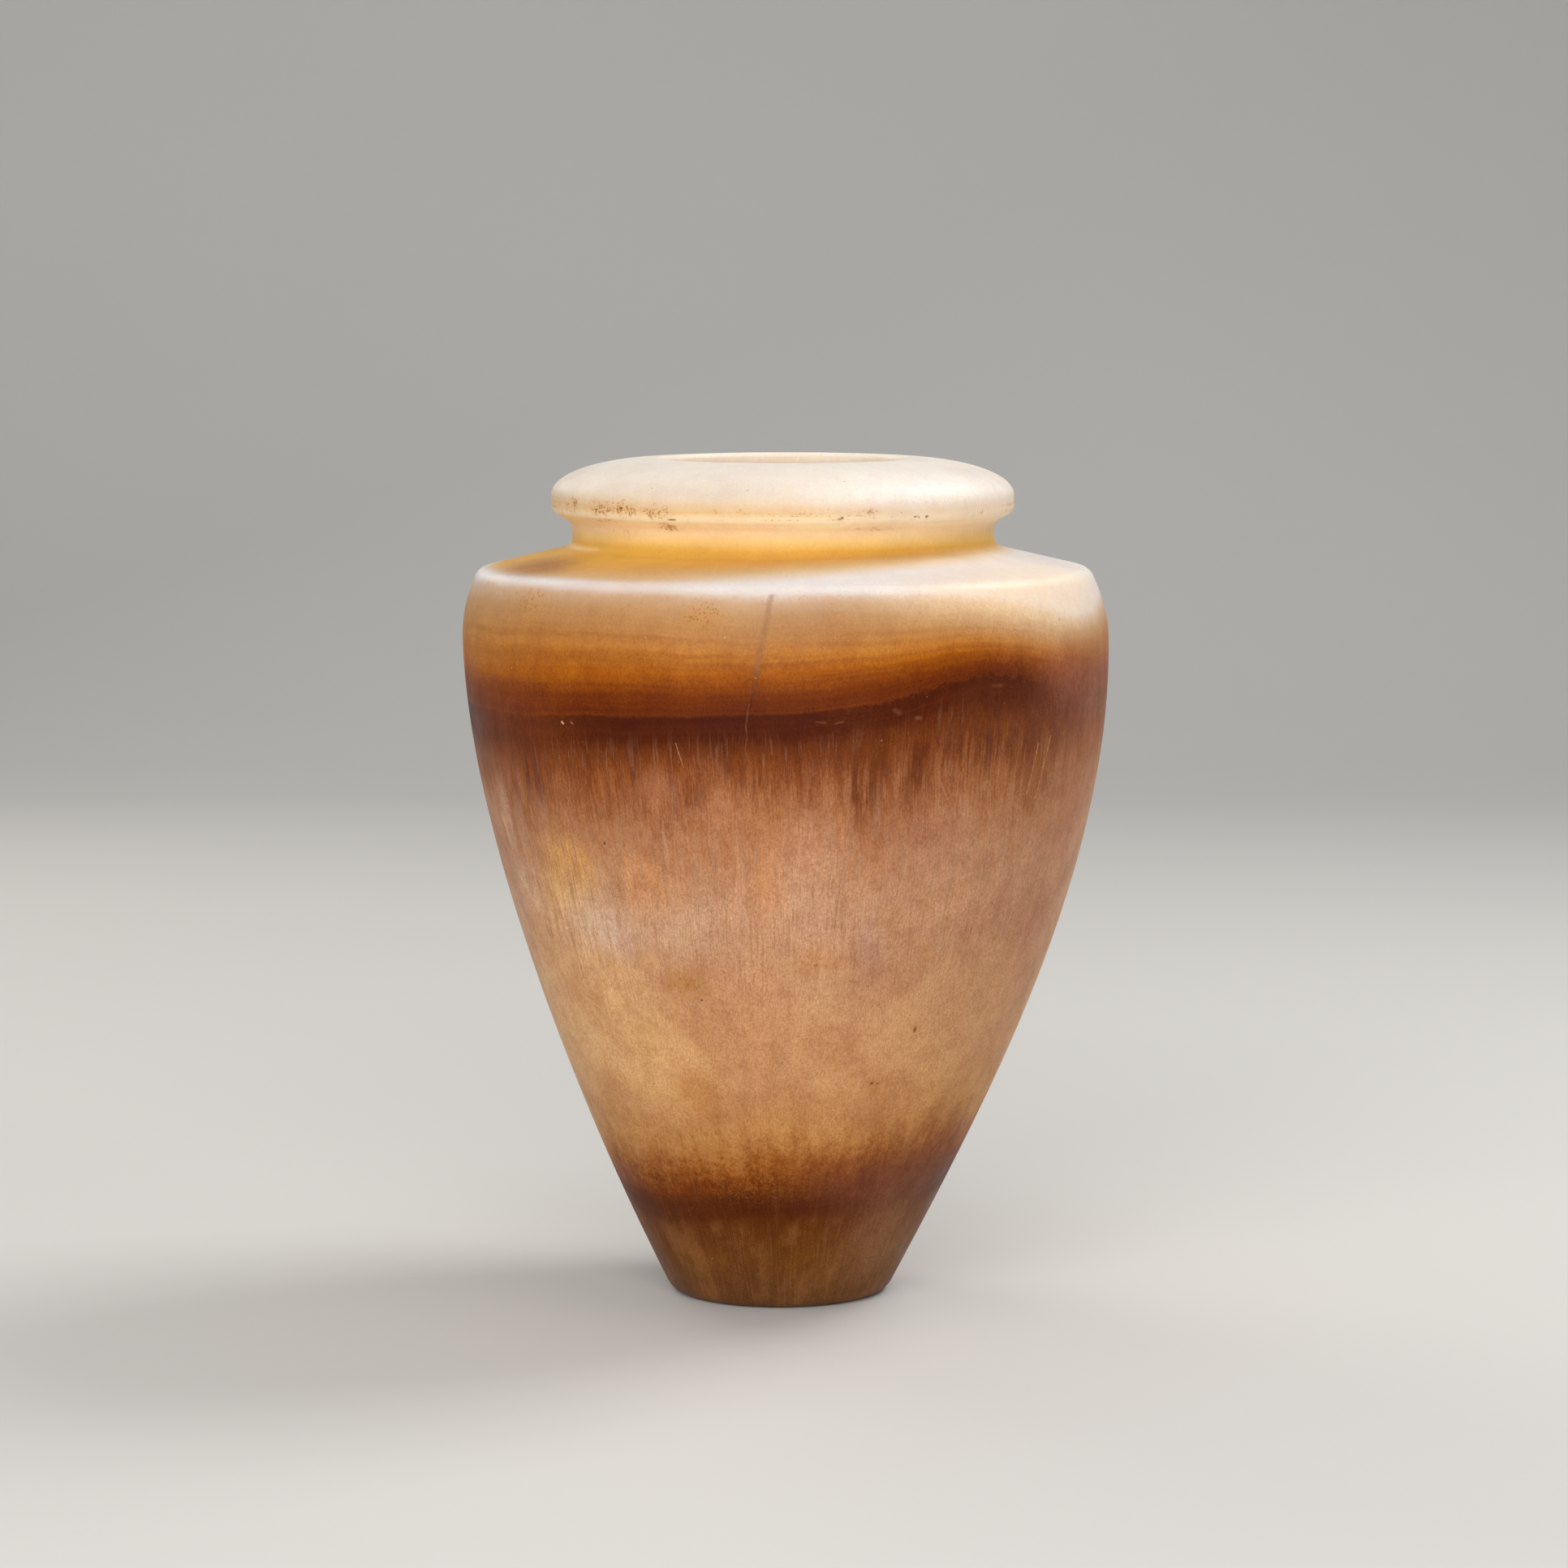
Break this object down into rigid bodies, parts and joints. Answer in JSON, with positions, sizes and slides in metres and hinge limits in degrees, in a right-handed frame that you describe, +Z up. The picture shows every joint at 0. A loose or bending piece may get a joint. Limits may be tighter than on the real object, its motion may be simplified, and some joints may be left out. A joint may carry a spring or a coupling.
{
  "type": "alabaster jar",
  "caption": "Tall shouldered stone jar with a wide domed collar rim, a grooved neck and a narrow flat foot, cut from banded honey and brown alabaster.",
  "frame": {"origin": "on the ground under the middle of the jar's widest part", "axes": "+Z up along the jar's axis, +X to the right in the picture's view, +Y away from the viewer"},
  "size_m": [0.2304, 0.2304, 0.3],
  "materials": {
    "alabaster": "polished, banded honey, cream and dark brown, slightly translucent"
  },
  "bodies": {
    "root": {"jar": "alabaster"}
  },
  "joints": []
}
